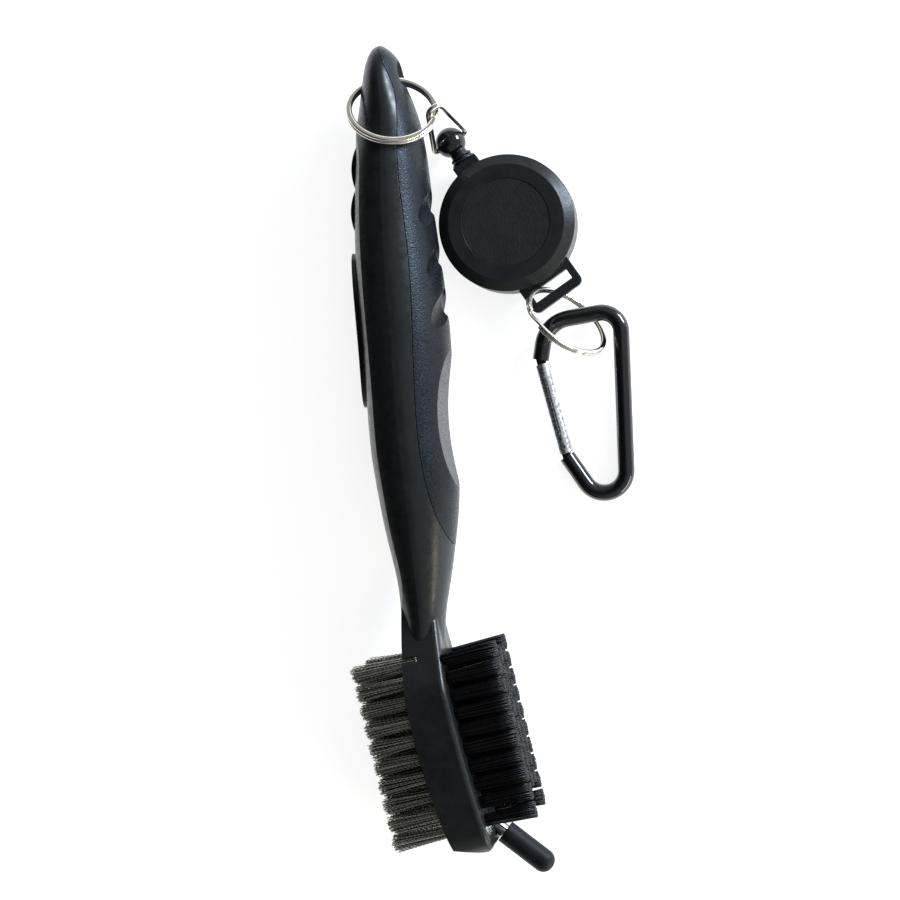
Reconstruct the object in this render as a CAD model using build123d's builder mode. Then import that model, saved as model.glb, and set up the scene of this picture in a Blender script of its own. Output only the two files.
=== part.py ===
"""Golf club groove brush with its key rings, retractable reel and carabiner.

The set lies on a flat surface, +Z up and +Y towards the handle's tip. The origin is the middle of
the set's box at that surface. The brush lies on its narrow side, with nylon tufts to +X and wire
tufts to -X, and the reel and the carabiner lie on its +X side. Lengths are in millimetres.
"""

from build123d import *
from math import acos, atan2, cos, pi, radians, sin, tan
import os

# ---- layout -------------------------------------------------------------------------------------
MIDDLE_X, MIDDLE_Y = 10.0, -1.3  # middle of the set's box on the bench

# ---- brush --------------------------------------------------------------------------------------
TIP_X, TIP_Y = -16.2, 94.5  # handle tip on the bench
HALF_DEPTH = 13.0  # half of the brush's size across the side it lies on

# oval sections of the handle: distance down the handle, wire side, grip side, half depth
HANDLE_SECTIONS = [
    (0.7, -0.5, 1.4, 2.2),
    (1.6, -1.5, 2.6, 4.6),
    (3.6, -2.6, 4.4, 7.0),
    (8.2, -3.6, 6.0, 9.0),
    (17.4, -4.8, 9.3, 10.2),
    (26.0, -5.0, 11.1, 11.1),
    (36.0, -5.3, 12.4, 11.7),
    (57.0, -4.8, 15.4, 12.8),
    (70.0, -3.7, 16.8, 13.0),
    (85.0, -2.4, 17.5, 12.9),
    (95.0, -1.5, 18.3, 12.6),
    (104.0, 0.0, 18.8, 12.0),
    (115.5, 2.4, 18.0, 10.4),
    (125.0, 4.7, 16.8, 8.4),
    (134.0, 5.8, 15.6, 7.3),
    (140.0, 6.4, 15.9, 7.8),
    (147.0, 7.9, 16.2, 9.0),
]
CREASE_FROM, CREASE_TO = 18.0, 134.0  # distances between which a band lies along the wire side
CREASE_SWELL = 3.0  # how far the round form would swell past the band
BAND_DEEPER, BAND_WIDER, BAND_CLEAR = 1.36, 6.0, 0.3
SEAM = [
    (0.2, 2.0), (0.6, -2.0), (4.2, -10.0), (5.9, -26.0),
    (8.5, -49.0), (10.1, -77.0), (13.5, -105.4), (21.0, -121.5),
]
SEAM_GAP = 0.12  # a groove of this width shows between the grip and the body
GRIP_WALL_SIDE, GRIP_WALL_DEPTH = 3.2, 2.4  # thickness of the soft grip over the handle's core
CORE_FROM = 4  # the core starts at this section
SCOOP = [(16.9, -71.3), (15.1, -87.0), (18.9, -103.3)]  # finger scoop, start, deepest and end
SCALLOPS = [(12.6, -36.2), (14.5, -48.3), (15.7, -59.6)]  # finger notches on the grip side
SCALLOP_RADIUS, SCALLOP_DEPTH, SCALLOP_LENGTH = 4.0, 1.1, 11.0
SCALLOP_RUN = Vector(-0.10, -0.48, 0.87)  # each notch runs from the side up and towards the head
PAD_PROUD, PAD_FROM = 1.0, 3  # the pad's form starts at this section
PAD_CENTRE, PAD_LENGTH, PAD_WIDTH = 66.6, 36.0, 15.0
PAD_WINDOW = (9.0, 12.0)  # the oval that picks the pad out: how far out it starts and its length
NIB_CENTRES, NIB_RADIUS, NIB_WIDTH, NIB_PROUD = (29.5, 39.3), 12.0, 9.0, 0.7
NIB_EDGE = 0.3
HOLE_AT, HOLE_TURN = (1.2, -8.3), 6.0
HOLE_RADIUS, HOLE_MOUTH_RADIUS, HOLE_LAND, HOLE_REACH = 2.6, 7.2, 1.6, 8.0

# ---- head ---------------------------------------------------------------------------------------
HEAD_X, HEAD_Y, HEAD_TURN = -5.0, -47.0, -76.0
HEAD_END, HEAD_START = 46.8, -20.0
HEAD_FLARE = [(HEAD_START, 2.0), (-4.0, 7.2), (4.5, 11.2), (12.0, HALF_DEPTH)]  # half width, from the neck
HEAD_FLARE_UP, HEAD_FLARE_DOWN = (1, 0.2), (1, -0.2)
HEAD_CORNER, HEAD_EDGE = 6.0, 1.3
TUFT_ROWS, TUFT_COLUMNS = 10, 4
COLUMN_PITCH = 5.4
NYLON_ROWS, WIRE_ROWS = (2.15, 4.15), (0.9, 4.38)  # first row and pitch along the head
NYLON_TIP, WIRE_TIP = 17.4, -16.6
NYLON_ROOT_RADIUS, NYLON_TIP_RADIUS = 1.35, 1.95
WIRE_ROOT_RADIUS, WIRE_TIP_RADIUS = 1.35, 1.95
SOCKET_RADIUS, SOCKET_DEPTH = 1.4, 3.6
ANCHOR = (2.4, 0.6, 0.45)
SPIKE_TURN, SPIKE_ROOT, SPIKE_RADIUS, SPIKE_LENGTH = -36.0, (9.2, -84.9), 1.6, 16.5
CAP_START, CAP_LENGTH, CAP_RADIUS, CAP_BORE = 5.2, 13.5, 2.7, 1.65

# ---- split rings, link and ball -----------------------------------------------------------------
RING_RADIUS, RING_BAND, RING_COIL = 10.0, 1.4, 0.85
HANDLE_RING_OFFSET = 10.3  # from the hole's middle to the ring's middle
HANDLE_RING_TOWARDS = Vector(0.283, -0.785, 0.552)
HANDLE_RING_AXIS = Vector(0.180, 0.582, 0.793)
LUG_RING_RADIUS, LUG_RING_BAND, LUG_RING_COIL = 10.15, 1.1, 0.65
LUG_RING_MIDDLE = (27.25, 29.85, 9.55)
LUG_RING_AXIS = Vector(0.577, 0.663, 0.477)
LINK_TURN_ON_RING = 5.0
LINK_WIRE, LINK_BEND, LINK_HALF_BASE, LINK_FOOT_BEND = 0.65, 1.9, 4.6, 0.9
BALL_RADIUS, BALL_BACK, BALL_BORE = 3.6, 23.9, 0.75
FERRULE_RIBS = [(0.0, 0.8, 3.0), (1.15, 0.7, 2.7)]  # start, thickness and radius of each rib

# ---- reel ---------------------------------------------------------------------------------------
REEL_X, REEL_Y, REEL_TURN = 13.08, 53.0, -55.0
REEL_RADIUS, REEL_HEIGHT, REEL_SPLIT, REEL_WALL = 16.0, 10.0, 4.4, 1.3
REEL_MID = REEL_HEIGHT / 2
FACE_RADIUS, FACE_DEPTH = 10.3, 0.7
BEVEL_RADIUS, BEVEL_DROP = 13.6, 1.5
NOZZLE_REACH, NOZZLE_WIDTH, NOZZLE_HALF_HEIGHT = 17.9, 6.3, 2.7
NOZZLE_LOW, NOZZLE_HIGH = REEL_MID - NOZZLE_HALF_HEIGHT, REEL_MID + NOZZLE_HALF_HEIGHT
LUG_REACH, LUG_WIDTH, LUG_THICK = 21.5, 13.7, 2.2
SLOT_AT, SLOT_LENGTH, SLOT_WIDTH = 17.95, 10.1, 2.5
POST_RADIUS, SCREW_RADIUS, SCREW_HEAD_RADIUS = 2.0, 0.75, 1.7
DRUM_OUTER, DRUM_INNER, FLANGE_RADIUS, FLANGE_THICK = 7.6, 6.9, 12.4, 0.6
SPOOL_LOW, SPOOL_HIGH = 1.7, 7.2
WINDING_RADIUS, CORD_RADIUS, CORD_BEND_AT, CORD_BEND = 9.0, 0.45, 13.0, 4.0
CORD_LEAVE_TURN, CORD_IN_FERRULE = 46.6, 3.2
SPRING_INNER, SPRING_OUTER, SPRING_TURNS, SPRING_THICK = 2.5, 6.5, 5, 0.24

# ---- carabiner ----------------------------------------------------------------------------------
CLIP_X, CLIP_Y, CLIP_LIFT, CLIP_TILT = 26.1, 0.9, 2.52, 3.0
CLIP_WIRE = 1.95
CLIP_ROUTE = [(-5.5, 20.3), (-4.2, 29.1), (13.2, 32.1), (15.1, -23.3), (0.62, -2.32)]
CLIP_BENDS = [7.0, 4.6, 5.2]
GATE_LEAN = 15.0
GATE_OUTER, GATE_INNER, GATE_LENGTH, GATE_TAIL = 1.85, 1.35, 20.0, 1.6
TONGUE_THICK, TONGUE_WIDTH, EAR_GAP = 1.4, 2.1, 1.6
GATE_PIN_RADIUS, GATE_PIN_HOLE = 0.55, 0.6
NOSE_TONGUE = (2.2, 1.7, 1.0)

os.makedirs("parts", exist_ok=True)


def laid(x, y, z=0.0):
    """A bench position, counted from the middle of the set's box."""
    return Vector(x - MIDDLE_X, y - MIDDLE_Y, z)


def turned(degrees_from_x):
    """A level direction, by its angle from +X."""
    return Vector(cos(radians(degrees_from_x)), sin(radians(degrees_from_x)), 0)


def finish(builder, name):
    builder.part.label = name
    export_step(builder.part, f"parts/{name}.step")


# ---- handle -------------------------------------------------------------------------------------
def brush_plane(z):
    return Plane(origin=laid(TIP_X, TIP_Y, z))


def crease_share(distance):
    """How strong the crease along the wire side is, from 0 to 1."""
    part = (distance - CREASE_FROM) / (CREASE_TO - CREASE_FROM)
    return sin(pi * part) ** 0.5 if 0 < part < 1 else 0.0


def oval_loft(ovals):
    """A smooth form through upright ovals: distance from the tip, wire side, grip side, half depth."""
    with BuildPart() as form:
        for distance, wire_side, grip_side, half_depth in ovals:
            centre = laid(TIP_X + (wire_side + grip_side) / 2, TIP_Y - distance, HALF_DEPTH)
            with BuildSketch(Plane(origin=centre, x_dir=(1, 0, 0), z_dir=(0, -1, 0))):
                Ellipse((grip_side - wire_side) / 2, half_depth)
        loft()
    return form.part


def handle_form(side=0.0, depth=0.0, first=0):
    """The handle's outer form, grown or shrunk by side and depth.

    A round form is cut by a flatter one on the wire side, so a crease runs along each edge of it.
    """
    round_ovals, band_ovals = [], []
    for distance, wire_side, grip_side, half_depth in HANDLE_SECTIONS[first:]:
        share = crease_share(distance)
        deep = half_depth + depth
        round_ovals.append((distance, wire_side - side - share * CREASE_SWELL, grip_side + side, deep))
        band_side = wire_side - side - BAND_CLEAR * (1 - share)
        band_ovals.append((distance, band_side, grip_side + side + BAND_WIDER, deep * BAND_DEEPER))
    with BuildPart() as form:
        add(oval_loft(round_ovals))
        add(oval_loft(band_ovals), mode=Mode.INTERSECT)
    return form.part


def grip_region(gap=0.0):
    """Everything on the grip's side of the seam, as a tall block."""
    with BuildPart() as block:
        with BuildSketch(brush_plane(-1)):
            with BuildLine():
                seam = Spline([(x + gap, y) for x, y in SEAM])
                Polyline(seam @ 1, (40, -121.5), (40, 2), seam @ 0)
            make_face()
        extrude(amount=2 * HALF_DEPTH + 2)
    return block.part


def hole_cutter():
    """The ring's hole through the tip, wider at both mouths so that the ring can lean."""
    middle = laid(TIP_X + HOLE_AT[0], TIP_Y + HOLE_AT[1], HALF_DEPTH)
    along = Plane(origin=middle, x_dir=turned(HOLE_TURN), z_dir=(0, 0, 1))
    with BuildPart() as cutter:
        with BuildSketch(along):
            with BuildLine():
                Polyline(
                    (-HOLE_REACH, 0),
                    (-HOLE_REACH, HOLE_MOUTH_RADIUS),
                    (-HOLE_LAND, HOLE_RADIUS),
                    (HOLE_LAND, HOLE_RADIUS),
                    (HOLE_REACH, HOLE_MOUTH_RADIUS),
                    (HOLE_REACH, 0),
                    close=True,
                )
            make_face()
        revolve(axis=Axis(middle, turned(HOLE_TURN)))
    return cutter.part


def head_plane(z):
    return Plane(origin=laid(HEAD_X, HEAD_Y, z), x_dir=turned(HEAD_TURN), z_dir=(0, 0, 1))


def head_point(along, across, z):
    """A point of the head: along its length, across it towards the nylon side, and up."""
    return head_plane(z).from_local_coords(Vector(along, across, 0))


def head_form():
    with BuildPart() as head:
        with BuildSketch(head_plane(0)):
            with BuildLine():
                back = ThreePointArc((HEAD_START, -0.6), (12, -5.2), (44.2, -2.6))
                end = Polyline(back @ 1, (HEAD_END, 4.4), (45.6, 6.2))
                face = ThreePointArc(end @ 1, (22, 4.7), (HEAD_START, 6.2))
                Line(face @ 1, back @ 0)
            make_face()
        extrude(amount=2 * HALF_DEPTH)
        across = Plane(
            origin=head_point(0, -12, HALF_DEPTH), x_dir=turned(HEAD_TURN), z_dir=turned(HEAD_TURN + 90)
        )
        with BuildSketch(across) as outline:
            with BuildLine():
                low = Spline([(x, -half) for x, half in HEAD_FLARE], tangents=[HEAD_FLARE_DOWN, (1, 0)])
                high = Spline([(x, half) for x, half in HEAD_FLARE], tangents=[HEAD_FLARE_UP, (1, 0)])
                Polyline(low @ 1, (HEAD_END, -HALF_DEPTH), (HEAD_END, HALF_DEPTH), high @ 1)
                Line(low @ 0, high @ 0)
            make_face()
            corners = outline.vertices().group_by(Axis((0, 0, 0), turned(HEAD_TURN)))
            fillet(corners[-1], HEAD_CORNER)
        extrude(amount=24, mode=Mode.INTERSECT)
        rims = head.faces().group_by(SortBy.AREA)[-1].edges()
        fillet(rims, HEAD_EDGE)
    return head.part


def is_middle(z):
    return abs(z - HALF_DEPTH) < COLUMN_PITCH


def tuft_stations(first, pitch):
    """The tufts' places along the head and up it. The middle columns stand in the outer ones' gaps."""
    for column in range(TUFT_COLUMNS):
        z = HALF_DEPTH + (column - (TUFT_COLUMNS - 1) / 2) * COLUMN_PITCH
        for row in range(TUFT_ROWS - is_middle(z)):
            yield first + (row + 0.5 * is_middle(z)) * pitch, z


def is_corner(along, z, first, pitch):
    last = first + (TUFT_ROWS - 1) * pitch
    return min(abs(along - first), abs(along - last)) < 0.1 and not is_middle(z)


def beside_spike(along, z):
    last = NYLON_ROWS[0] + (TUFT_ROWS - 1) * NYLON_ROWS[1]
    return along > last - 0.9 * NYLON_ROWS[1] and is_middle(z)


NYLON_STATIONS = [s for s in tuft_stations(*NYLON_ROWS) if not beside_spike(*s)]
WIRE_STATIONS = list(tuft_stations(*WIRE_ROWS))


def tuft_plane(along, z, face, side):
    """A plane on the tuft's axis at the given height, facing out of the head."""
    return Plane(
        origin=head_point(along, face, z), x_dir=turned(HEAD_TURN), z_dir=turned(HEAD_TURN + 90) * side
    )


def face_height(along, side):
    """How far the head's nylon or wire face stands from its middle line."""
    rise = ((along - 22) / 24) ** 2
    return 4.7 + 0.9 * rise if side > 0 else -(5.4 - 2.4 * ((along - 19) / 24) ** 2)


spike_plane = Plane(
    origin=laid(*SPIKE_ROOT, HALF_DEPTH), x_dir=(0, 0, 1), z_dir=turned(SPIKE_TURN)
)

with BuildPart() as handle_body:
    add(handle_form())
    add(grip_region(), mode=Mode.SUBTRACT)
    add(handle_form(-GRIP_WALL_SIDE, -GRIP_WALL_DEPTH, CORE_FROM))
    add(head_form())
    for stations, side in ((NYLON_STATIONS, 1), (WIRE_STATIONS, -1)):
        for along, z in stations:
            with BuildSketch(tuft_plane(along, z, face_height(along, side) - SOCKET_DEPTH * side, side)):
                Circle(SOCKET_RADIUS)
            extrude(amount=SOCKET_DEPTH + 2, mode=Mode.SUBTRACT)
    with BuildSketch(spike_plane):
        Circle(SPIKE_RADIUS)
    extrude(amount=SPIKE_LENGTH, mode=Mode.SUBTRACT)
    add(hole_cutter(), mode=Mode.SUBTRACT)
finish(handle_body, "handle_body")

with BuildPart() as grip_overmould:
    add(handle_form())
    add(grip_region(SEAM_GAP), mode=Mode.INTERSECT)
    add(handle_form(-GRIP_WALL_SIDE, -GRIP_WALL_DEPTH, CORE_FROM), mode=Mode.SUBTRACT)
    with BuildSketch(brush_plane(-1)):
        with BuildLine():
            scoop = ThreePointArc(*SCOOP)
            Polyline(scoop @ 1, (30, -103), (30, -71), scoop @ 0)
        make_face()
    extrude(amount=2 * HALF_DEPTH + 2, mode=Mode.SUBTRACT)
    for x, y in SCALLOPS:
        spot = laid(TIP_X + x + SCALLOP_RADIUS - SCALLOP_DEPTH, TIP_Y + y, HALF_DEPTH)
        for up in (1, -1):
            run = Vector(SCALLOP_RUN.X, SCALLOP_RUN.Y, SCALLOP_RUN.Z * up)
            with BuildSketch(Plane(origin=spot - run * 2, x_dir=(1, 0, 0), z_dir=run)):
                Circle(SCALLOP_RADIUS)
            extrude(amount=SCALLOP_LENGTH + 2, mode=Mode.SUBTRACT)
    add(hole_cutter(), mode=Mode.SUBTRACT)
finish(grip_overmould, "grip_overmould")


pad_middle = laid(TIP_X - PAD_WINDOW[0], TIP_Y - PAD_CENTRE, HALF_DEPTH)
with BuildPart() as thumb_pad:
    add(handle_form(PAD_PROUD, PAD_PROUD, PAD_FROM))
    with BuildSketch(Plane(origin=pad_middle, x_dir=(0, 1, 0), z_dir=(1, 0, 0))):
        Ellipse(PAD_LENGTH / 2, PAD_WIDTH / 2)
    extrude(amount=PAD_WINDOW[1], mode=Mode.INTERSECT)
    add(handle_form(), mode=Mode.SUBTRACT)
finish(thumb_pad, "thumb_pad")


def wire_side_at(distance):
    """The handle's edge on the wire side at this distance from the tip."""
    for before, after in zip(HANDLE_SECTIONS, HANDLE_SECTIONS[1:]):
        if before[0] <= distance <= after[0]:
            share = (distance - before[0]) / (after[0] - before[0])
            return before[1] + share * (after[1] - before[1])


def nib(centre):
    """A low round bump on the wire side."""
    middle_x = TIP_X + wire_side_at(centre) - NIB_PROUD + NIB_RADIUS
    with BuildPart() as bump:
        with BuildSketch(Plane(origin=laid(middle_x, TIP_Y - centre, HALF_DEPTH - NIB_WIDTH / 2))):
            Circle(NIB_RADIUS)
        extrude(amount=NIB_WIDTH)
        add(handle_form(), mode=Mode.SUBTRACT)
        split(bisect_by=Plane(origin=laid(TIP_X, TIP_Y, 0), z_dir=(-1, 0, 0)), keep=Keep.TOP)
        fillet(bump.edges().group_by(Axis.X)[0], NIB_EDGE)
    return bump.part


with BuildPart() as finger_nibs:
    for centre in NIB_CENTRES:
        add(nib(centre))
finish(finger_nibs, "finger_nibs")


# ---- tufts, anchors and spike -------------------------------------------------------------------
def tufts(stations, side, tip, root_radius, tip_radius):
    """Round tufts that widen towards their tips, standing on their anchors in the sockets."""
    with BuildPart() as field:
        for along, z in stations:
            root = face_height(along, side) - (SOCKET_DEPTH - ANCHOR[2] - 0.05) * side
            with BuildSketch(tuft_plane(along, z, root, side)):
                Circle(root_radius)
            face = face_height(along, side)
            extrude(amount=abs(face - root))
            with BuildSketch(tuft_plane(along, z, face, side)):
                Circle(root_radius)
            with BuildSketch(tuft_plane(along, z, tip, side)):
                Circle(tip_radius)
            loft()
    return field.part


def tuft_nodes(stations, rows, side, tip, root_radius, tip_radius, name):
    """The field in two nodes: the corner tufts, which guard the field, and the rest."""
    corner = [s for s in stations if is_corner(*s, *rows)]
    inner = [s for s in stations if not is_corner(*s, *rows)]
    for chosen, node in ((inner, f"{name}_tufts"), (corner, f"{name}_corner_tufts")):
        with BuildPart() as field:
            for station in chosen:
                add(tufts([station], side, tip, root_radius, tip_radius))
        finish(field, node)


tuft_nodes(NYLON_STATIONS, NYLON_ROWS, 1, NYLON_TIP, NYLON_ROOT_RADIUS, NYLON_TIP_RADIUS, "nylon")
tuft_nodes(WIRE_STATIONS, WIRE_ROWS, -1, WIRE_TIP, WIRE_ROOT_RADIUS, WIRE_TIP_RADIUS, "wire")

for stations, side, name in ((NYLON_STATIONS, 1, "nylon_anchors"), (WIRE_STATIONS, -1, "wire_anchors")):
    with BuildPart() as anchors:
        for along, z in stations:
            with BuildSketch(tuft_plane(along, z, face_height(along, side) - SOCKET_DEPTH * side, side)):
                Rectangle(ANCHOR[0], ANCHOR[1])
            extrude(amount=ANCHOR[2])
    finish(anchors, name)

with BuildPart() as groove_spike:
    with BuildSketch(spike_plane):
        Circle(SPIKE_RADIUS)
    extrude(amount=SPIKE_LENGTH - 3)
    with BuildSketch(spike_plane.offset(SPIKE_LENGTH - 3)):
        Circle(SPIKE_RADIUS)
    with BuildSketch(spike_plane.offset(SPIKE_LENGTH)):
        Circle(0.25)
    loft()
finish(groove_spike, "groove_spike")

cap_mouth = spike_plane.offset(CAP_START)
with BuildPart() as spike_cap:
    with BuildSketch(cap_mouth):
        Circle(CAP_RADIUS)
    extrude(amount=CAP_LENGTH)
    fillet(spike_cap.faces().sort_by(Axis(cap_mouth.origin, cap_mouth.z_dir))[-1].edges(), CAP_RADIUS - 0.15)
    with BuildSketch(cap_mouth):
        Circle(CAP_BORE)
    extrude(amount=SPIKE_LENGTH - CAP_START + 0.4, mode=Mode.SUBTRACT)
finish(spike_cap, "spike_cap")


# ---- split rings --------------------------------------------------------------------------------
def split_ring(middle, axis, radius, band, coil):
    """Two flat coils of round-edged wire, side by side."""
    ring = Plane(origin=middle, z_dir=axis)
    section = Plane(origin=middle, x_dir=ring.x_dir, z_dir=ring.y_dir * -1)
    with BuildPart() as part:
        with BuildSketch(section):
            for side in (-1, 1):
                with Locations((radius, side * coil / 2)):
                    RectangleRounded(band, coil + 0.04, 0.3 * coil)
        revolve(axis=Axis(middle, axis))
    return part.part


HOLE_MIDDLE = laid(TIP_X + HOLE_AT[0], TIP_Y + HOLE_AT[1], HALF_DEPTH)
handle_ring_towards = HANDLE_RING_TOWARDS.normalized()
handle_ring_axis = (
    HANDLE_RING_AXIS - handle_ring_towards * HANDLE_RING_AXIS.dot(handle_ring_towards)
).normalized()
handle_ring_middle = HOLE_MIDDLE + handle_ring_towards * HANDLE_RING_OFFSET

with BuildPart() as handle_ring:
    add(split_ring(handle_ring_middle, handle_ring_axis, RING_RADIUS, RING_BAND, RING_COIL))
finish(handle_ring, "handle_ring")

with BuildPart() as lug_ring:
    lug_ring_axis = LUG_RING_AXIS.normalized()
    add(split_ring(laid(*LUG_RING_MIDDLE), lug_ring_axis, LUG_RING_RADIUS, LUG_RING_BAND, LUG_RING_COIL))
finish(lug_ring, "lug_ring")

# ---- link, ball and ferrule ---------------------------------------------------------------------
REEL_AXIS = turned(REEL_TURN)
REEL_ACROSS = turned(REEL_TURN + 90)
REEL_MIDDLE = laid(REEL_X, REEL_Y, 0)
cord_line = REEL_MIDDLE + Vector(0, 0, REEL_MID)
ball_middle = cord_line - REEL_AXIS * BALL_BACK

ring_east = (Vector(1, 0, 0) - handle_ring_axis * handle_ring_axis.X).normalized()
ring_north = handle_ring_axis.cross(ring_east)
link_on_ring = handle_ring_middle + RING_RADIUS * (
    ring_east * cos(radians(LINK_TURN_ON_RING)) + ring_north * sin(radians(LINK_TURN_ON_RING))
)
link_rise = (link_on_ring - ball_middle).normalized()
link_height = (link_on_ring - ball_middle).length
cross_tilt = atan2(-link_rise.dot(REEL_ACROSS), link_rise.Z)
link_across = (REEL_ACROSS * cos(cross_tilt) + Vector(0, 0, sin(cross_tilt))).normalized()
link_plane = Plane(origin=ball_middle, x_dir=link_across, z_dir=link_across.cross(link_rise))

# the legs run straight from the feet to a bend that is centred on the ring's wire
reach = (LINK_HALF_BASE**2 + link_height**2) ** 0.5
leg_lean = acos(LINK_BEND / reach) - atan2(link_height, LINK_HALF_BASE)
peak = LINK_HALF_BASE / tan(leg_lean)

with BuildPart() as swivel_link:
    with BuildLine(link_plane):
        wire = FilletPolyline(
            (0, 0), (LINK_HALF_BASE, 0), (0, peak), (-LINK_HALF_BASE, 0), (-0.05, 0),
            radius=[LINK_FOOT_BEND, LINK_BEND, LINK_FOOT_BEND],
        )
    with BuildSketch(Plane(origin=wire @ 0, z_dir=wire % 0)):
        Circle(LINK_WIRE)
    sweep()
finish(swivel_link, "swivel_link")


def along_cord(distance):
    """A plane across the cord line, this far back from the reel's middle, facing the ball."""
    return Plane(origin=cord_line - REEL_AXIS * distance, x_dir=(0, 0, 1), z_dir=REEL_AXIS * -1)


with BuildPart() as swivel_ball:
    with Locations(Location(ball_middle)):
        Sphere(BALL_RADIUS)
    with BuildSketch(along_cord(BALL_BACK - BALL_RADIUS - 0.35)):
        Circle(2.1)
    extrude(amount=1.6)
    with BuildSketch(Plane(origin=ball_middle - link_across * 5, z_dir=link_across)):
        Circle(BALL_BORE)
    extrude(amount=10, mode=Mode.SUBTRACT)
    with BuildSketch(along_cord(BALL_BACK - BALL_RADIUS - 1)):
        Circle(1.35)
    extrude(amount=2.6, mode=Mode.SUBTRACT)
finish(swivel_ball, "swivel_ball")

with BuildPart() as cord_ferrule:
    ferrule_start = NOZZLE_REACH + 0.12
    with BuildSketch(along_cord(ferrule_start)):
        Circle(1.9)
    extrude(amount=BALL_BACK - BALL_RADIUS - 0.45 - ferrule_start)
    for start, thick, radius in FERRULE_RIBS:
        with BuildPart(mode=Mode.PRIVATE) as rib:
            with BuildSketch(along_cord(ferrule_start + start)):
                Circle(radius)
            extrude(amount=thick)
            fillet(rib.edges(), 0.45 * thick)
        add(rib)
    with BuildSketch(along_cord(ferrule_start)):
        Circle(1.27)
    extrude(amount=BALL_BACK - BALL_RADIUS + 1.2 - ferrule_start)
    with BuildSketch(along_cord(ferrule_start)):
        Circle(CORD_RADIUS)
    extrude(amount=8, mode=Mode.SUBTRACT)
finish(cord_ferrule, "cord_ferrule")


# ---- reel ---------------------------------------------------------------------------------------
def reel_plane(z):
    return Plane(origin=REEL_MIDDLE + Vector(0, 0, z), x_dir=REEL_AXIS, z_dir=(0, 0, 1))


def disc(z, height, radius, mode=Mode.ADD):
    with BuildSketch(reel_plane(z)) as face:
        Circle(radius)
    extrude(face.sketch, amount=height, mode=mode)


def block(z, height, x_from, x_to, width, mode=Mode.ADD):
    with BuildSketch(reel_plane(z)) as face:
        with Locations(((x_from + x_to) / 2, 0)):
            Rectangle(x_to - x_from, width)
    extrude(face.sketch, amount=height, mode=mode)


def cord_bore():
    with BuildSketch(along_cord(13.5)) as bore:
        Circle(CORD_RADIUS + 0.3)
    extrude(bore.sketch, amount=6, mode=Mode.SUBTRACT)


with BuildPart() as reel_back_case:
    disc(0, REEL_SPLIT, REEL_RADIUS)
    fillet(reel_back_case.faces().sort_by(Axis.Z)[0].edges(), 0.6)
    block(NOZZLE_LOW, REEL_SPLIT - NOZZLE_LOW, -NOZZLE_REACH, -14, NOZZLE_WIDTH)
    disc(REEL_WALL, REEL_SPLIT, REEL_RADIUS - REEL_WALL, Mode.SUBTRACT)
    disc(REEL_WALL, 7.3 - REEL_WALL, POST_RADIUS)
    disc(0, REEL_HEIGHT, SCREW_RADIUS, Mode.SUBTRACT)
    disc(0, 0.9, SCREW_HEAD_RADIUS + 0.1, Mode.SUBTRACT)
    cord_bore()
finish(reel_back_case, "reel_back_case")

with BuildPart() as reel_front_case:
    disc(REEL_SPLIT, REEL_HEIGHT - BEVEL_DROP - REEL_SPLIT, REEL_RADIUS)
    with BuildSketch(reel_plane(REEL_HEIGHT - BEVEL_DROP)):
        Circle(REEL_RADIUS)
    with BuildSketch(reel_plane(REEL_HEIGHT)):
        Circle(BEVEL_RADIUS)
    loft()
    block(REEL_SPLIT, NOZZLE_HIGH - REEL_SPLIT, -NOZZLE_REACH, -14, NOZZLE_WIDTH)
    block(REEL_SPLIT, LUG_THICK, 14, LUG_REACH, LUG_WIDTH)
    far_corners = reel_front_case.edges().filter_by(Axis.Z).sort_by(Axis((0, 0, 0), REEL_AXIS))[-2:]
    fillet(far_corners, 1.6)
    hollow_height = REEL_HEIGHT - REEL_WALL - FACE_DEPTH - REEL_SPLIT
    disc(REEL_SPLIT, hollow_height, REEL_RADIUS - REEL_WALL, Mode.SUBTRACT)
    disc(REEL_HEIGHT - FACE_DEPTH, FACE_DEPTH, FACE_RADIUS, Mode.SUBTRACT)
    disc(7.4, 0.7, POST_RADIUS - 0.1)
    disc(7.0, 1.6, SCREW_RADIUS, Mode.SUBTRACT)
    block(REEL_SPLIT - 1, 5, SLOT_AT - SLOT_WIDTH / 2, SLOT_AT + SLOT_WIDTH / 2, SLOT_LENGTH, Mode.SUBTRACT)
    cord_bore()
finish(reel_front_case, "reel_front_case")

with BuildPart() as reel_face_disc:
    disc(REEL_HEIGHT - FACE_DEPTH, FACE_DEPTH - 0.1, FACE_RADIUS - 0.05)
finish(reel_face_disc, "reel_face_disc")

with BuildPart() as reel_screw:
    disc(0.1, 0.8, SCREW_HEAD_RADIUS)
    disc(0.9, 7.3, SCREW_RADIUS)
    block(0, 0.45, -1.2, 1.2, 0.4, Mode.SUBTRACT)
finish(reel_screw, "reel_screw")

with BuildPart() as reel_spool:
    disc(SPOOL_LOW, FLANGE_THICK, FLANGE_RADIUS)
    disc(SPOOL_LOW, SPOOL_HIGH - SPOOL_LOW, DRUM_OUTER)
    disc(SPOOL_HIGH - FLANGE_THICK, FLANGE_THICK, FLANGE_RADIUS)
    disc(SPOOL_LOW + FLANGE_THICK, SPOOL_HIGH, DRUM_INNER, Mode.SUBTRACT)
    disc(0, REEL_HEIGHT, POST_RADIUS + 0.05, Mode.SUBTRACT)
finish(reel_spool, "reel_spool")

with BuildPart() as cord_winding:
    disc(SPOOL_LOW + FLANGE_THICK + 0.1, SPOOL_HIGH - SPOOL_LOW - 2 * FLANGE_THICK - 0.2, WINDING_RADIUS)
    disc(0, REEL_HEIGHT, DRUM_OUTER, Mode.SUBTRACT)
finish(cord_winding, "cord_winding")

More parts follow.
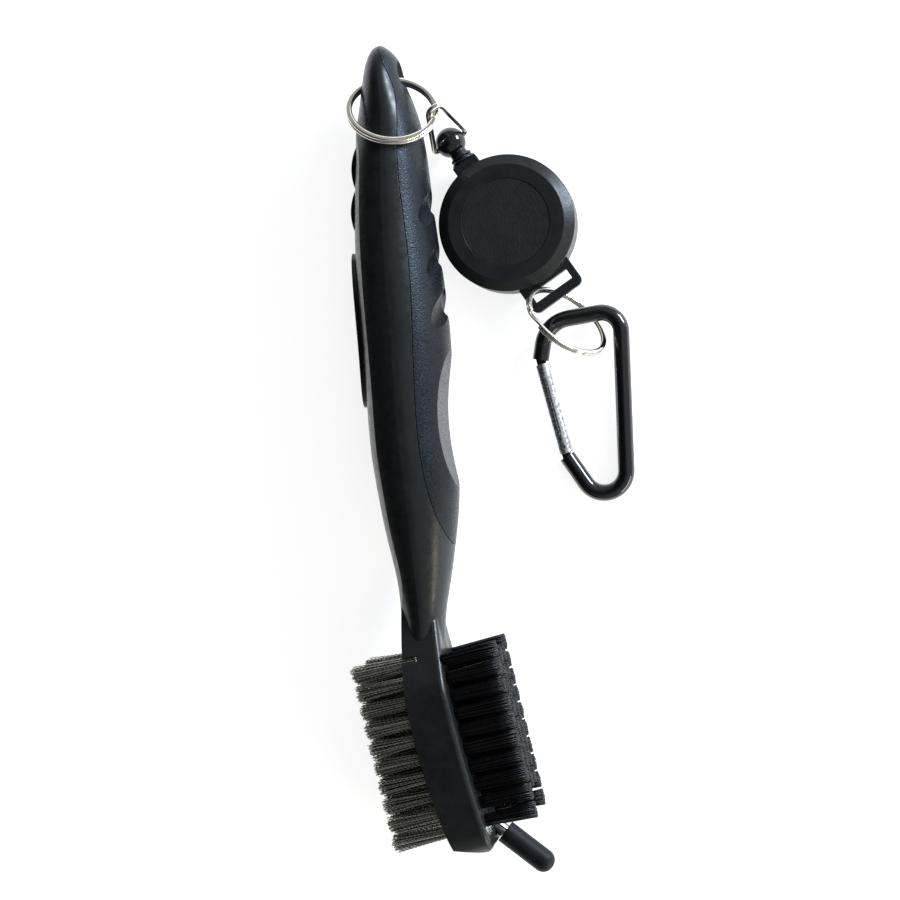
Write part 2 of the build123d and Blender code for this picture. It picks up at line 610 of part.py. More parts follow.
with BuildPart() as reel_spring:
    with BuildSketch(reel_plane(2.6)):
        with BuildLine():
            steps = 16 * SPRING_TURNS

            def spiral(step, offset):
                angle = 2 * pi * step / 16
                radius = SPRING_INNER + (SPRING_OUTER - SPRING_INNER) * step / steps + offset
                return radius * cos(angle), radius * sin(angle)

            inner = Spline([spiral(k, 0) for k in range(steps + 1)])
            outer = Spline([spiral(k, SPRING_THICK) for k in range(steps + 1)])
            Line(inner @ 0, outer @ 0)
            Line(inner @ 1, outer @ 1)
        make_face()
    extrude(amount=4.2)
finish(reel_spring, "reel_spring")

# the cord leaves the winding along a tangent, and bends once to the nozzle's line
cord_leave = WINDING_RADIUS + CORD_RADIUS
leave_turn = radians(CORD_LEAVE_TURN)
with BuildPart() as pull_cord:
    with BuildLine(reel_plane(REEL_MID)):
        route = FilletPolyline(
            (-cord_leave * sin(leave_turn), cord_leave * cos(leave_turn)),
            (-CORD_BEND_AT, 0),
            (-NOZZLE_REACH - CORD_IN_FERRULE, 0),
            radius=CORD_BEND,
        )
    with BuildSketch(Plane(origin=route @ 0, z_dir=route % 0)):
        Circle(CORD_RADIUS)
    sweep()
finish(pull_cord, "pull_cord")

# ---- carabiner ----------------------------------------------------------------------------------
CLIP_UP = Vector(0, -sin(radians(CLIP_TILT)), cos(radians(CLIP_TILT)))
clip_plane = Plane(origin=laid(CLIP_X, CLIP_Y, CLIP_LIFT), x_dir=(1, 0, 0), z_dir=CLIP_UP)
gate_plane = clip_plane.rotated((0, 0, GATE_LEAN))  # Y along the gate, from its pin to the nose


def along_gate(distance):
    """A plane across the gate, this far from its pin, facing the nose."""
    origin = gate_plane.from_local_coords(Vector(0, distance, 0))
    return Plane(origin=origin, x_dir=gate_plane.x_dir, z_dir=gate_plane.y_dir)


def gate_box(width, y_from, y_to, thick, mode=Mode.ADD, lift=0.0):
    with BuildSketch(gate_plane.offset(lift - thick / 2)) as face:
        with Locations((0, (y_from + y_to) / 2)):
            Rectangle(width, y_to - y_from)
    extrude(face.sketch, amount=thick, mode=mode)


with BuildPart() as carabiner_frame:
    with BuildLine(clip_plane):
        frame_line = FilletPolyline(*CLIP_ROUTE, radius=CLIP_BENDS)
    with BuildSketch(Plane(origin=frame_line @ 0, z_dir=frame_line % 0)):
        Circle(CLIP_WIRE)
    sweep()
    gate_box(TONGUE_WIDTH, -3.4, 0, TONGUE_THICK)
    with BuildSketch(gate_plane.offset(-TONGUE_THICK / 2)):
        Circle(TONGUE_WIDTH / 2)
    extrude(amount=TONGUE_THICK)
    with BuildSketch(gate_plane.offset(-3)):
        Circle(GATE_PIN_HOLE)
    extrude(amount=6, mode=Mode.SUBTRACT)
    gate_box(NOSE_TONGUE[0], GATE_LENGTH - NOSE_TONGUE[1] + 0.3, GATE_LENGTH + 2.2, NOSE_TONGUE[2])
finish(carabiner_frame, "carabiner_frame")

with BuildPart() as carabiner_gate:
    with BuildSketch(along_gate(-GATE_TAIL)):
        Circle(GATE_OUTER)
        Circle(GATE_INNER, mode=Mode.SUBTRACT)
    extrude(amount=GATE_LENGTH + GATE_TAIL)
    gate_box(6, -3, 1.5, EAR_GAP, Mode.SUBTRACT)
    gate_box(6, GATE_LENGTH - 1.9, GATE_LENGTH + 1, NOSE_TONGUE[2] + 0.3, Mode.SUBTRACT)
    gate_box(0.3, 3.0, GATE_LENGTH - 3.0, 2, Mode.SUBTRACT, lift=GATE_OUTER)
    with BuildSketch(gate_plane.offset(-3)):
        Circle(GATE_PIN_RADIUS)
    extrude(amount=6, mode=Mode.SUBTRACT)
finish(carabiner_gate, "carabiner_gate")

with BuildPart() as gate_pin:
    with BuildSketch(gate_plane.offset(-GATE_OUTER)):
        Circle(GATE_PIN_RADIUS)
    extrude(amount=2 * GATE_OUTER)
finish(gate_pin, "gate_pin")

with BuildPart() as gate_plunger:
    with BuildSketch(along_gate(1.6)):
        Circle(1.2)
    extrude(amount=1.6)
finish(gate_plunger, "gate_plunger")

with BuildPart() as gate_spring:
    with BuildLine():
        coil = Helix(
            pitch=0.9, height=5.4, radius=0.9, center=along_gate(3.5).origin, direction=gate_plane.y_dir
        )
    with BuildSketch(Plane(origin=coil @ 0, z_dir=coil % 0)):
        Circle(0.18)
    sweep(is_frenet=True)
finish(gate_spring, "gate_spring")

print("cord: one bend of radius", CORD_BEND, "mm in a cord", 2 * CORD_RADIUS, "mm thick")
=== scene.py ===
"""Looks of the club groove brush set: materials on the CAD parts, and finer pieces in their place.

The bristles, the two split rings and the pull-out cord are built here. Lengths are in metres, in the
frame of the CAD model: +Z up, and +Y towards the handle's tip. Only the sizes of a material's grain,
relief and rounded edges are given in millimetres.
"""

import math

import bmesh
import bpy
import numpy as np
from mathutils import Matrix, Vector


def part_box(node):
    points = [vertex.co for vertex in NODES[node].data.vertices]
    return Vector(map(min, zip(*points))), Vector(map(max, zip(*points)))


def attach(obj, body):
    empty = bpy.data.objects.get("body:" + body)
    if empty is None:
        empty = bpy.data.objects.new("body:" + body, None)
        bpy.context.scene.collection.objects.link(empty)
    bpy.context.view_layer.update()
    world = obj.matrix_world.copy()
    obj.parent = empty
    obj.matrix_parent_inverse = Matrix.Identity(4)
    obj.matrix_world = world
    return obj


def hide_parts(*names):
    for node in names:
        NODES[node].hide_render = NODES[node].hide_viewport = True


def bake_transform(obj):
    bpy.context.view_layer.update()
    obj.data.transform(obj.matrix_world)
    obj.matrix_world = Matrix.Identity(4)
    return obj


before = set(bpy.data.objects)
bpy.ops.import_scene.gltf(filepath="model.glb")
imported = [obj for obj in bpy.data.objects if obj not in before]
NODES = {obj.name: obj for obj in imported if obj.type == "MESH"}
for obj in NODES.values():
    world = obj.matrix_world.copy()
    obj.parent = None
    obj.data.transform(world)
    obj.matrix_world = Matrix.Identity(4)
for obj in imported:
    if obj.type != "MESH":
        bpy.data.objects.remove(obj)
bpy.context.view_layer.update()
MM = 0.001
GOLDEN_ANGLE = math.pi * (3 - math.sqrt(5))
NOISE_LOW, NOISE_HIGH = 0.35, 0.65  # most of a noise texture's values lie between these


# ---- camera and light ---------------------------------------------------------------------------
AIM = Vector((-10.0, 1.3, 10.0)) * MM  # the middle of the view, inside the brush's thickness
CAMERA_TILT = math.radians(9.0)  # from overhead, towards +X
CAMERA_DISTANCE = 450.0 * MM
LENS, SENSOR = 77.1, 36.0


def facing(position, target, up=(0, 1, 0)):
    """A placement whose local -Z looks from position to target."""
    back = (Vector(position) - Vector(target)).normalized()
    right = Vector(up).cross(back).normalized()
    turn = Matrix((right, back.cross(right), back)).transposed()
    return Matrix.Translation(position) @ turn.to_4x4()


def add_camera():
    data = bpy.data.cameras.new("camera")
    data.lens, data.sensor_width = LENS, SENSOR
    data.clip_start = 0.01
    camera = bpy.data.objects.new("camera", data)
    away = Vector((math.sin(CAMERA_TILT), 0, math.cos(CAMERA_TILT)))
    camera.matrix_world = facing(AIM + away * CAMERA_DISTANCE, AIM)
    bpy.context.scene.collection.objects.link(camera)
    bpy.context.scene.camera = camera


def add_area_light(name, direction, distance, size, power, colour):
    """A soft box that shines on the set from a direction. Its size is in metres, its power in watts."""
    data = bpy.data.lights.new(name, "AREA")
    data.shape = "RECTANGLE"
    data.size, data.size_y = size
    data.energy, data.color = power, colour
    light = bpy.data.objects.new(name, data)
    light.matrix_world = facing(AIM + Vector(direction).normalized() * distance, AIM)
    bpy.context.scene.collection.objects.link(light)


def add_world(bright, dark, dark_way, dark_from, dark_to):
    """A pale dome with one dim side, which gives the black plastics their dark bands.

    dark_way points to the dim side. It is darkest within dark_from degrees of there, and the dome
    is back to bright at dark_to degrees.
    """
    world = bpy.data.worlds.new("studio")
    bpy.context.scene.world = world
    world.use_nodes = True
    nodes, links = world.node_tree.nodes, world.node_tree.links
    nodes.clear()
    where = nodes.new("ShaderNodeTexCoord")
    dot = nodes.new("ShaderNodeVectorMath")
    dot.operation = "DOT_PRODUCT"
    dot.inputs[1].default_value = Vector(dark_way).normalized()
    links.new(where.outputs["Generated"], dot.inputs[0])
    span = nodes.new("ShaderNodeMapRange")
    span.interpolation_type = "SMOOTHSTEP"
    span.inputs["From Min"].default_value = math.cos(math.radians(dark_to))
    span.inputs["From Max"].default_value = math.cos(math.radians(dark_from))
    span.inputs["To Min"].default_value = bright
    span.inputs["To Max"].default_value = dark
    links.new(dot.outputs["Value"], span.inputs["Value"])
    sky = nodes.new("ShaderNodeBackground")
    sky.inputs["Color"].default_value = (0.97, 0.985, 1.0, 1)
    links.new(span.outputs[0], sky.inputs["Strength"])
    out = nodes.new("ShaderNodeOutputWorld")
    links.new(sky.outputs[0], out.inputs[0])


# ---- materials ----------------------------------------------------------------------------------
def per_mm(size):
    """The texture scale that gives features of this size in millimetres."""
    return 1 / (size * MM)


class Look:
    """A procedural material, put together one effect at a time."""

    def __init__(self, name, colour, roughness, **sockets):
        self.material = bpy.data.materials.new(name)
        self.material.use_nodes = True
        self.tree = self.material.node_tree
        self.tree.nodes.clear()
        self.shader = self.node("ShaderNodeBsdfPrincipled")
        self.link(self.shader.outputs[0], self.node("ShaderNodeOutputMaterial").inputs[0])
        self.colour = colour
        self.shader.inputs["Base Color"].default_value = (*colour, 1)
        self.shader.inputs["Roughness"].default_value = roughness
        for socket, value in sockets.items():
            self.shader.inputs[socket.replace("_", " ")].default_value = value
        self.place = self.node("ShaderNodeTexCoord").outputs["Object"]
        self.normal = None

    def node(self, kind, **settings):
        made = self.tree.nodes.new(kind)
        for key, value in settings.items():
            setattr(made, key, value)
        return made

    def link(self, start, end):
        self.tree.links.new(start, end)

    def noise(self, size, detail=2.0, stretch=None):
        """A grey noise with features of this size in mm, longer by stretch along each axis."""
        texture = self.node("ShaderNodeTexNoise")
        texture.inputs["Scale"].default_value = per_mm(size)
        texture.inputs["Detail"].default_value = detail
        self.link(self.stretched(stretch) if stretch else self.place, texture.inputs["Vector"])
        return texture.outputs["Fac"]

    def stretched(self, stretch):
        """The place on the object, so that a texture is drawn out by a factor along each axis."""
        mapping = self.node("ShaderNodeMapping", vector_type="TEXTURE")
        mapping.inputs["Scale"].default_value = stretch
        self.link(self.place, mapping.inputs["Vector"])
        return mapping.outputs["Vector"]

    def span(self, value, low, high, start=NOISE_LOW, end=NOISE_HIGH):
        """Maps a grey value from start..end to low..high."""
        change = self.node("ShaderNodeMapRange")
        for key, amount in (("From Min", start), ("From Max", end), ("To Min", low), ("To Max", high)):
            change.inputs[key].default_value = amount
        self.link(value, change.inputs["Value"])
        return change.outputs[0]

    def mixed(self, share, low, high):
        """The base colour runs from low to high, where each is a colour or a node's output."""
        mix = self.node("ShaderNodeMix", data_type="RGBA")
        self.link(share, mix.inputs["Factor"])
        for key, colour in (("A", low), ("B", high)):
            if isinstance(colour, tuple):
                mix.inputs[key].default_value = (*colour, 1)
            else:
                self.link(colour, mix.inputs[key])
        self.colour = mix.outputs["Result"]
        self.link(self.colour, self.shader.inputs["Base Color"])
        return self

    def tint(self, value, other, start=NOISE_LOW, end=NOISE_HIGH):
        """The colour drifts to another one where the grey value is high."""
        return self.mixed(self.span(value, 0, 1, start, end), self.colour, other)

    def painted_shade(self, distance, other, deep=0.15, open_air=0.6):
        """Painted shade: deep between close neighbours, within this distance in mm, the colour turns to
        another that stands for the shade there.
        """
        occlusion = self.node("ShaderNodeAmbientOcclusion", samples=4)
        occlusion.inputs["Distance"].default_value = distance * MM
        return self.mixed(self.span(occlusion.outputs["AO"], 0, 1, deep, open_air), other, self.colour)

    def uneven(self, value, low, high):
        """The roughness runs from low to high with the grey value."""
        self.link(self.span(value, low, high), self.shader.inputs["Roughness"])
        return self

    def rounded(self, radius):
        """Sharp edges catch the light as if they were rounded to this radius in mm."""
        bevel = self.node("ShaderNodeBevel", samples=6)
        bevel.inputs["Radius"].default_value = radius * MM
        self.normal = bevel.outputs["Normal"]
        return self

    def bump(self, value, height):
        """Relief of this height in mm from a grey value."""
        relief = self.node("ShaderNodeBump")
        relief.inputs["Strength"].default_value = 1.0
        relief.inputs["Distance"].default_value = height * MM
        self.link(value, relief.inputs["Height"])
        if self.normal:
            self.link(self.normal, relief.inputs["Normal"])
        self.normal = relief.outputs["Normal"]
        return self

    def done(self):
        if self.normal:
            self.link(self.normal, self.shader.inputs["Normal"])
        return self.material


def moulded_plastic(name, colour, other, roughness, grain, height, edge=0.25):
    """Moulded plastic: fine grain, slight unevenness in gloss, and softly rounded edges."""
    look = Look(name, colour, roughness, Specular_IOR_Level=0.4).rounded(edge)
    look.tint(look.noise(6.0), other)
    look.uneven(look.noise(1.6, 4.0), roughness - 0.05, roughness + 0.07)
    look.bump(look.noise(grain, 3.0), height)
    return look


def spark_texture(look, size, height, sparkle):
    """The pebbled finish of a spark-eroded mould, with finer relief on it, sparkle times as high."""
    cells = look.node("ShaderNodeTexVoronoi", feature="SMOOTH_F1")
    cells.inputs["Scale"].default_value = per_mm(size)
    cells.inputs["Smoothness"].default_value = 0.6
    look.link(look.place, cells.inputs["Vector"])
    look.bump(cells.outputs["Distance"], height)
    look.bump(look.noise(size * 0.8, 2.0), height * sparkle)
    return look


def handle_plastic():
    look = moulded_plastic(
        "handle_plastic", (0.010, 0.011, 0.012), (0.014, 0.015, 0.015),
        roughness=0.30, grain=0.7, height=0.004,
    )
    look.bump(look.noise(9.0, 2.0, (1, 14, 1)), 0.03)
    return look.done()


def grip_rubber():
    look = Look(
        "grip_rubber", (0.005, 0.006, 0.008), 0.34,
        Specular_IOR_Level=0.3, Specular_Tint=(0.74, 0.86, 1.0, 1),
    ).rounded(0.2)
    look.tint(look.noise(5.0), (0.010, 0.010, 0.011))
    look.uneven(look.noise(0.5, 3.0), 0.26, 0.46)
    return spark_texture(look, 0.34, 0.045, 0.8).done()


def pad_rubber():
    look = Look("pad_rubber", (0.004, 0.004, 0.005), 0.2).rounded(0.3)
    look.tint(look.noise(0.5, 3.0), (0.012, 0.012, 0.013), 0.6, 0.8)
    return look.bump(look.noise(0.45, 3.0), 0.012).done()


def cap_rubber():
    look = Look("cap_rubber", (0.005, 0.006, 0.007), 0.5, Specular_IOR_Level=0.22).rounded(0.3)
    look.tint(look.noise(2.5, 3.0), (0.010, 0.011, 0.013))
    return look.bump(look.noise(0.25, 3.0), 0.006).done()


def ball_plastic():
    look = Look("ball_plastic", (0.006, 0.006, 0.007), 0.12, Coat_Weight=0.3, Coat_Roughness=0.08)
    look.rounded(0.2)
    look.uneven(look.noise(1.0, 3.0), 0.1, 0.2)
    return look.bump(look.noise(0.8, 2.0), 0.006).done()


def ferrule_rubber():
    look = Look("ferrule_rubber", (0.007, 0.007, 0.008), 0.32).rounded(0.12)
    look.uneven(look.noise(0.8, 3.0), 0.26, 0.4)
    return look.bump(look.noise(0.3, 2.0), 0.006).done()


def reel_plastic():
    look = moulded_plastic(
        "reel_plastic", (0.013, 0.014, 0.015), (0.018, 0.019, 0.020),
        roughness=0.36, grain=0.5, height=0.006, edge=0.3,
    )
    return spark_texture(look, 0.3, 0.014, 0.5).done()


def disc_plastic():
    look = moulded_plastic(
        "disc_plastic", (0.016, 0.018, 0.019), (0.022, 0.024, 0.025),
        roughness=0.4, grain=0.5, height=0.006, edge=0.2,
    )
    return spark_texture(look, 0.34, 0.05, 0.8).done()


def spool_plastic():
    return moulded_plastic(
        "spool_plastic", (0.55, 0.54, 0.50), (0.60, 0.59, 0.56),
        roughness=0.4, grain=0.4, height=0.006, edge=0.15,
    ).done()


def bright_metal(name, colour, other, roughness):
    """Bare metal with faint handling marks in its colour and gloss."""
    grain = 0.6
    look = Look(name, colour, roughness, Metallic=1.0).rounded(0.12)
    look.tint(look.noise(1.8, 3.0), other)
    look.uneven(look.noise(grain, 4.0), roughness * 0.6, roughness * 1.5)
    return look.bump(look.noise(grain, 3.0), 0.003).done()


def clip_black():
    look = Look("clip_black", (0.006, 0.006, 0.007), 0.14, Coat_Weight=0.6, Coat_Roughness=0.05)
    look.rounded(0.15)
    look.tint(look.noise(2.2, 3.0), (0.012, 0.012, 0.013), 0.5, 0.8)
    look.uneven(look.noise(1.2, 4.0), 0.1, 0.24)
    return look.bump(look.noise(1.1, 2.0), 0.01).done()


def nylon_bristle():
    look = Look("nylon_bristle", (0.002, 0.002, 0.003), 0.28, Specular_IOR_Level=0.3)
    look.tint(look.noise(1.2, 2.0), (0.004, 0.004, 0.005))
    return look.uneven(look.noise(0.6, 3.0), 0.2, 0.42).done()


def wire_bristle():
    look = Look("wire_bristle", (0.52, 0.51, 0.44), 0.3, Metallic=1.0)
    look.tint(look.noise(0.7, 3.0), (0.20, 0.195, 0.16), 0.5, 0.8)
    look.tint(look.noise(2.4, 2.0), (0.62, 0.60, 0.50), 0.5, 0.8)
    # painted shade: the wire turns near black where the bristles crowd, deep in the tufts
    look.painted_shade(2.0, (0.05, 0.048, 0.04))
    return look.uneven(look.noise(0.3, 3.0), 0.2, 0.44).done()


def cord_nylon():
    look = Look("cord_nylon", (0.012, 0.012, 0.013), 0.55, Sheen_Weight=0.2)
    look.tint(look.noise(0.25, 2.0), (0.028, 0.028, 0.030))
    return look.bump(look.noise(0.22, 2.0, (1, 1, 3)), 0.03).done()


FINISHES = {
    handle_plastic: ["handle_body"],
    grip_rubber: ["grip_overmould"],
    pad_rubber: ["thumb_pad", "finger_nibs"],
    cap_rubber: ["spike_cap"],
    ball_plastic: ["swivel_ball"],
    ferrule_rubber: ["cord_ferrule"],
    reel_plastic: ["reel_front_case", "reel_back_case"],
    disc_plastic: ["reel_face_disc"],
    spool_plastic: ["reel_spool"],
    clip_black: ["carabiner_frame"],
    nylon_bristle: ["nylon_tufts", "nylon_corner_tufts"],
    wire_bristle: ["wire_tufts", "wire_corner_tufts"],
    cord_nylon: ["pull_cord", "cord_winding"],
}
METALS = {  # name: colour, the colour it drifts to, roughness, nodes
    "ring_nickel": (
        (0.80, 0.77, 0.70), (0.72, 0.69, 0.62), 0.10, ["handle_ring", "lug_ring", "swivel_link"],
    ),
    "spike_steel": ((0.66, 0.65, 0.62), (0.58, 0.56, 0.52), 0.16, ["groove_spike"]),
    "anchor_brass": ((0.72, 0.56, 0.30), (0.60, 0.45, 0.22), 0.28, ["nylon_anchors", "wire_anchors"]),
    "gate_aluminium": ((0.95, 0.95, 0.96), (0.88, 0.88, 0.90), 0.26, ["carabiner_gate"]),
    "fastener_steel": (
        (0.50, 0.50, 0.50), (0.40, 0.40, 0.40), 0.26, ["reel_screw", "gate_pin", "gate_plunger"],
    ),
    "spring_steel": ((0.46, 0.46, 0.47), (0.36, 0.35, 0.34), 0.22, ["reel_spring", "gate_spring"]),
}
MATERIALS = {}  # name: the material, for the pieces made below


def give_finish(name, material, nodes):
    """Puts a material on CAD nodes and keeps it for new pieces."""
    MATERIALS[name] = material
    for node in nodes:
        for holder in NODES[node].material_slots:
            holder.link = "OBJECT"
            holder.material = material


def make_materials():
    for build, nodes in FINISHES.items():
        give_finish(build.__name__, build(), nodes)
    for name, (colour, other, roughness, nodes) in METALS.items():
        give_finish(name, bright_metal(name, colour, other, roughness), nodes)


# ---- meshes -------------------------------------------------------------------------------------
WELD = 0.001 * MM  # corners of a CAD mesh closer than this are one


def add_mesh(name, points, faces, material, body, replaced):
    """A new piece that rides on a body and stands for CAD nodes."""
    mesh = bpy.data.meshes.new(name)
    mesh.from_pydata([tuple(p) for p in points], [], [tuple(int(i) for i in f) for f in faces])
    mesh.update()
    mesh.shade_smooth()
    piece = bpy.data.objects.new(name, mesh)
    bpy.context.scene.collection.objects.link(piece)
    mesh.materials.append(MATERIALS[material])
    if replaced:
        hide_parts(*replaced)
    if body:
        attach(piece, body)
    return piece


def tube_faces(stations, sides, first=0):
    """Side faces and end caps of a tube of rings of points."""
    faces = []
    for k in range(stations - 1):
        for s in range(sides):
            a, b = first + k * sides + s, first + k * sides + (s + 1) % sides
            faces.append((a, b, b + sides, a + sides))
    faces.append(tuple(first + s for s in reversed(range(sides))))
    faces.append(tuple(first + (stations - 1) * sides + s for s in range(sides)))
    return faces


def circle(count, start=0.0):
    """Angles of evenly spaced points round a circle."""
    return np.arange(count) * 2 * math.pi / count + start


def across(axis):
    """Two directions square to an axis, which isn't upright, and to each other, the first one level."""
    axis = np.array(axis, float) / np.linalg.norm(axis)
    level = np.cross((0, 0, 1), axis)
    level /= np.linalg.norm(level)
    return level, np.cross(axis, level)


def solids(node):
    """The points of each separate solid of a CAD node."""
    work = bmesh.new()
    work.from_mesh(NODES[node].data)
    bmesh.ops.remove_doubles(work, verts=work.verts, dist=WELD)
    left, groups = set(work.verts), []
    while left:
        group, waiting = [], [left.pop()]
        while waiting:
            vertex = waiting.pop()
            group.append(tuple(vertex.co))
            for link in vertex.link_edges:
                other = link.other_vert(vertex)
                if other in left:
                    left.remove(other)
                    waiting.append(other)
        groups.append(np.array(group))
    work.free()
    return sorted(groups, key=lambda g: tuple(np.round(g.mean(0), 5)))


# ---- bristles -----------------------------------------------------------------------------------
END_SLICE = 0.1 * MM  # how deep the slice is that gives a tuft's radius at an end
PLACE_JITTER = 0.1  # radians round the tuft
CRIMP_DRIFT, CRIMP_JITTER = 3, 0.5  # how the crimp's phase changes across a tuft and by chance
CRIMP_LEAN, LEAN_JITTER = 0.5, 0.5  # radians from level, of the plane that a bristle waves in

NYLON = dict(
    count=88, thick=0.155 * MM, sides=4, steps=4, wave=(0, 1),
    ragged=(0.0, 0.06 * MM), splay=0.06 * MM,
)
WIRE = dict(
    count=44, thick=0.145 * MM, sides=3, steps=40, wave=(0.11 * MM, 0.95 * MM),
    ragged=(0.05, 0.24 * MM), splay=0.36 * MM,
)


def tuft_axis(points):
    """Root, tip, and the radius at each, of one CAD tuft, which is wider at its tip."""
    middle = points.mean(0)
    direction = np.linalg.svd(points - middle)[2][0]
    along = (points - middle) @ direction
    off = np.linalg.norm(points - middle - np.outer(along, direction), axis=1)
    ends = []
    for end in (along.min(), along.max()):
        near = np.abs(along - end) < END_SLICE
        ends.append((middle + direction * end, off[near].max()))
    (root, root_radius), (tip, tip_radius) = sorted(ends, key=lambda e: e[1])
    return root, tip, root_radius, tip_radius


def filaments(tuft, rng, count, thick, sides, steps, wave, ragged, splay):
    """Rings of points for each bristle of one tuft.

    thick is a bristle's radius, and wave is the height and length of its crimp. ragged is how much
    shorter the outer bristles are, as a share, and how much all lengths vary. splay is how far the
    outer tips stray outwards.
    """
    root, tip, root_radius, tip_radius = tuft
    length = np.linalg.norm(tip - root)
    axis = (tip - root) / length
    level, steep = across(axis)
    wave_size, wave_length = wave
    along = np.linspace(0, 1, steps + 1)
    tuft_phase = rng.uniform(0, 2 * math.pi)
    for i in range(count):
        share = math.sqrt((i + 0.5) / count)
        angle = i * GOLDEN_ANGLE + tuft_phase + rng.normal(0, PLACE_JITTER)
        out = level * math.cos(angle) + steep * math.sin(angle)
        spread = share * (root_radius - thick + (tip_radius - root_radius) * along)
        spread = spread + share * splay * abs(rng.normal(0, 1)) * along**2
        reach = length * (1 - ragged[0] * share**3) + rng.normal(0, ragged[1])
        line = root + np.outer(along * reach, axis) + np.outer(spread, out)
        if wave_size:
            phase = rng.normal(0, CRIMP_JITTER) + tuft_phase + share * CRIMP_DRIFT * math.cos(angle)
            swing = wave_size * np.sin(2 * math.pi * along * reach / wave_length + phase)
            lean = rng.normal(CRIMP_LEAN, LEAN_JITTER)
            line = line + np.outer(swing, level * math.cos(lean) + steep * math.sin(lean))
        turns = circle(sides, rng.uniform(0, 2))
        ring = np.outer(np.cos(turns), level) + np.outer(np.sin(turns), steep)
        yield (line[:, None, :] + ring[None, :, :] * thick).reshape(-1, 3)


def bristle_piece(name, tufts, material, replaced, seed, **shape):
    """One piece of all the bristles of some tufts."""
    rng = np.random.default_rng(seed)
    points, faces = [], []
    for tuft in tufts:
        for strand in filaments(tuft, rng, **shape):
            faces += tube_faces(shape["steps"] + 1, shape["sides"], len(points))
            points.extend(strand)
    return add_mesh(name, points, faces, material, "brush", replaced)


def tufts_of(node):
    return [tuft_axis(points) for points in solids(node)]


def add_bristles():
    nylon, wire = tufts_of("nylon_tufts"), tufts_of("wire_tufts")
    nylon_corners, wire_corners = tufts_of("nylon_corner_tufts"), tufts_of("wire_corner_tufts")
    # the wire side is in two pieces, so that neither is too fine to keep whole
    middle_z = np.mean([root[2] for root, *_ in wire])
    upper = [tuft for tuft in wire if tuft[0][2] > middle_z]
    lower = [tuft for tuft in wire if tuft[0][2] <= middle_z]
    for name, tufts, material, replaced, seed, shape in (
        ("nylon_bristles", nylon, "nylon_bristle", ["nylon_tufts"], 3, NYLON),
        ("nylon_corner_bristles", nylon_corners, "nylon_bristle", ["nylon_corner_tufts"], 4, NYLON),
        ("wire_bristles", upper, "wire_bristle", ["wire_tufts"], 5, WIRE),
        ("wire_bristles_low", lower, "wire_bristle", [], 15, WIRE),
        ("wire_corner_bristles", wire_corners, "wire_bristle", ["wire_corner_tufts"], 6, WIRE),
    ):
        bristle_piece(name, tufts, material, replaced, seed, **shape)


# ---- split rings --------------------------------------------------------------------------------
RING_STATIONS = 288
RING_HALF_GAP = 13.0  # degrees, from a free end to the middle of the crossing
RING_PLAY = 0.97  # the wire's height as a share of a coil's, so that the two coils don't touch
END_TAPER, END_LENGTH = 0.72, 4.0  # size of the wire at its free ends, and over how many degrees


def ring_form(node):
    """Middle, axis, middle radius, width of the band and height of one coil, from the CAD ring."""
    points = np.array([v.co for v in NODES[node].data.vertices], float)
    middle = (points.max(0) + points.min(0)) / 2
    axis = np.linalg.svd(points - middle)[2][2]
    axis = axis if axis[2] > 0 else -axis
    height = (points - middle) @ axis
    radius = np.linalg.norm(points - middle - np.outer(height, axis), axis=1)
    return middle, axis, (radius.max() + radius.min()) / 2, radius.max() - radius.min(), height.max()


def ring_section(band, coil, count=20, power=0.8):
    """Outline of the flattened wire, as distances out and up, rounder as power nears 1."""
    turn = circle(count)
    out = np.sign(np.cos(turn)) * np.abs(np.cos(turn)) ** power * band / 2
    up = np.sign(np.sin(turn)) * np.abs(np.sin(turn)) ** power * coil / 2
    return np.stack([out, up], 1)


def split_ring(name, body, crossing):
    """Two turns of flat wire that change sides at the crossing, in degrees, where the ends meet."""
    middle, axis, radius, band, coil = ring_form(name)
    level, steep = across(axis)
    start, end = RING_HALF_GAP, 720 - RING_HALF_GAP
    stations = np.linspace(start, end, RING_STATIONS)
    section = ring_section(band, coil * RING_PLAY)
    points = []
    for station in stations:
        angle = math.radians(station + crossing)
        out = level * math.cos(angle) + steep * math.sin(angle)
        step = np.clip((station - 360) / RING_HALF_GAP, -1, 1)
        lift = coil / 2 * (1.5 * step - 0.5 * step**3)  # a smooth step from one coil to the other
        from_end = min(station - start, end - station)
        taper = END_TAPER + (1 - END_TAPER) * min(1.0, from_end / END_LENGTH)
        for across_band, up in section:
            points.append(middle + out * (radius + across_band * taper) + axis * (lift + up * taper))
    faces = tube_faces(len(stations), len(section))
    return add_mesh(f"{name}_coil", points, faces, "ring_nickel", body, [name])


# ---- pull-out cord ------------------------------------------------------------------------------
CORD_INSIDE = 15.2 * MM  # from the reel's middle, to a point inside the nozzle
CORD_HELD = 19.5 * MM  # from the reel's middle, to a point inside the ferrule
CORD_START = 11.5 * MM  # from the reel's middle: the cord's inner end, inside the case
CORD_SHORT = 0.2 * MM  # the outer end stops this far inside the CAD cord's
CORD_STEP = 0.2 * MM
CORD_SIDES = 12


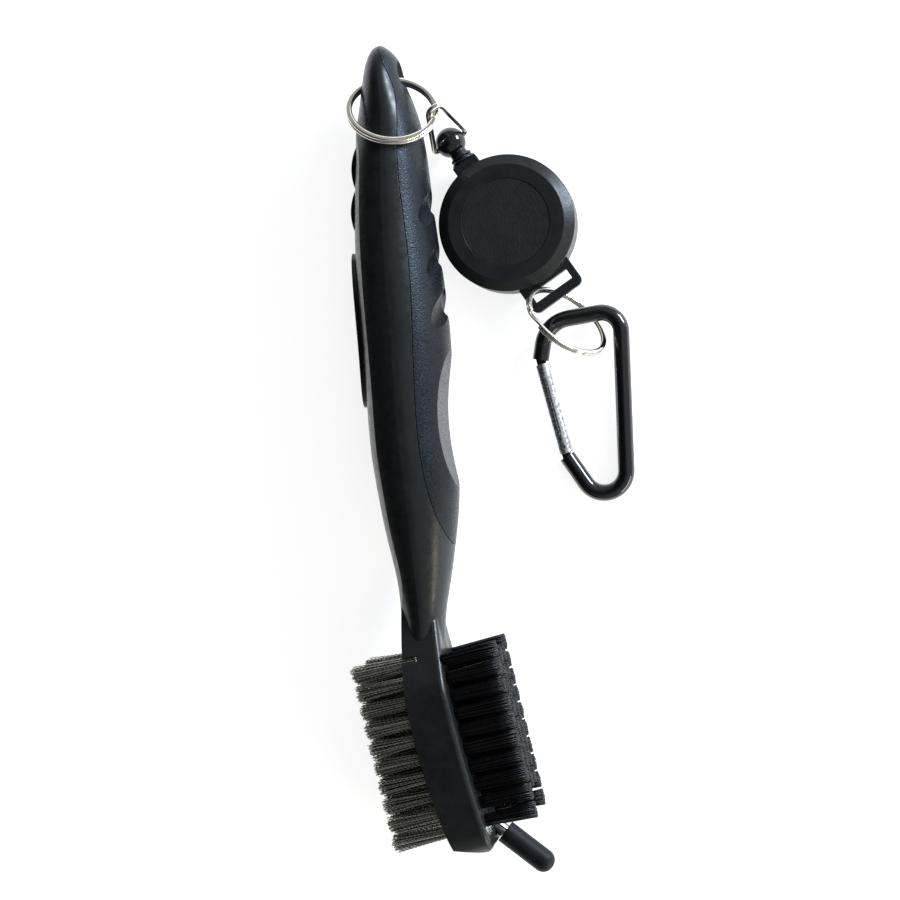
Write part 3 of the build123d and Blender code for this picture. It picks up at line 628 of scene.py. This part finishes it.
def add_pull_cord():
    """A round cord from inside the reel's case out to just short of the CAD cord's outer end."""
    low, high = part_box("reel_face_disc")
    bottom, top = (corner.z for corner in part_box("pull_cord"))
    reel = np.array(((low.x + high.x) / 2, (low.y + high.y) / 2, (bottom + top) / 2))
    points = np.array([v.co for v in NODES["pull_cord"].data.vertices], float)
    far = points[np.argmax(np.linalg.norm(points - reel, axis=1))]
    way = far - reel
    way[2] = 0
    reach = np.linalg.norm(way)
    way = way / reach
    radius = (top - bottom) / 2
    side = np.cross((0, 0, 1), way)
    line = []
    for k in range(int((reach - CORD_START) / CORD_STEP)):
        line.append(reel + way * (reach - CORD_SHORT - k * CORD_STEP))
    turns = circle(CORD_SIDES)
    ring = np.outer(np.cos(turns), side) + np.outer(np.sin(turns), (0, 0, 1))
    tube = (np.array(line)[:, None, :] + ring[None, :, :] * radius).reshape(-1, 3)
    faces = tube_faces(len(line), CORD_SIDES)
    cord = add_mesh("cord_run", tube, faces, "cord_nylon", None, ["pull_cord"])
    held, inside = reel + way * CORD_HELD, reel + way * CORD_INSIDE
    tuple(held)
    tuple(inside)
    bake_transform(cord)


# ---- the set ------------------------------------------------------------------------------------
FLOOR_HALF = 3.0  # half of its side
FLOOR_DROP = 0.02 * MM  # keeps the floor and the set's flat side from sharing a surface


def add_floor():
    mesh = bpy.data.meshes.new("floor")
    corners = [(x * FLOOR_HALF, y * FLOOR_HALF, 0) for x, y in ((-1, -1), (1, -1), (1, 1), (-1, 1))]
    mesh.from_pydata(corners, [], [(0, 1, 2, 3)])
    look = Look("floor", (0.88, 0.88, 0.88), 0.9, Emission_Strength=0.8, Emission_Color=(1, 1, 1, 1))
    look.tint(look.noise(80.0), (0.9, 0.9, 0.9))
    mesh.materials.append(look.done())
    floor = bpy.data.objects.new("floor", mesh)
    floor.location.z = -FLOOR_DROP
    bpy.context.scene.collection.objects.link(floor)


bpy.context.scene.view_settings.view_transform = "Standard"
make_materials()
add_bristles()
split_ring("handle_ring", "handle_ring", 200.0)
split_ring("lug_ring", "lug_ring", 60.0)
add_pull_cord()
add_floor()
add_camera()
add_world(bright=0.42, dark=0.02, dark_way=(-0.62, -0.05, 0.78), dark_from=25, dark_to=62)
add_area_light(
    "blue_window", direction=(1.0, 0.75, 0.45), distance=0.8, size=(0.22, 0.30),
    power=8.0, colour=(0.72, 0.84, 1.0),
)
add_area_light(
    "warm_strip", direction=(1.0, -0.7, 0.22), distance=0.6, size=(0.10, 0.4),
    power=1.2, colour=(1.0, 0.95, 0.70),
)

bpy.context.view_layer.update()
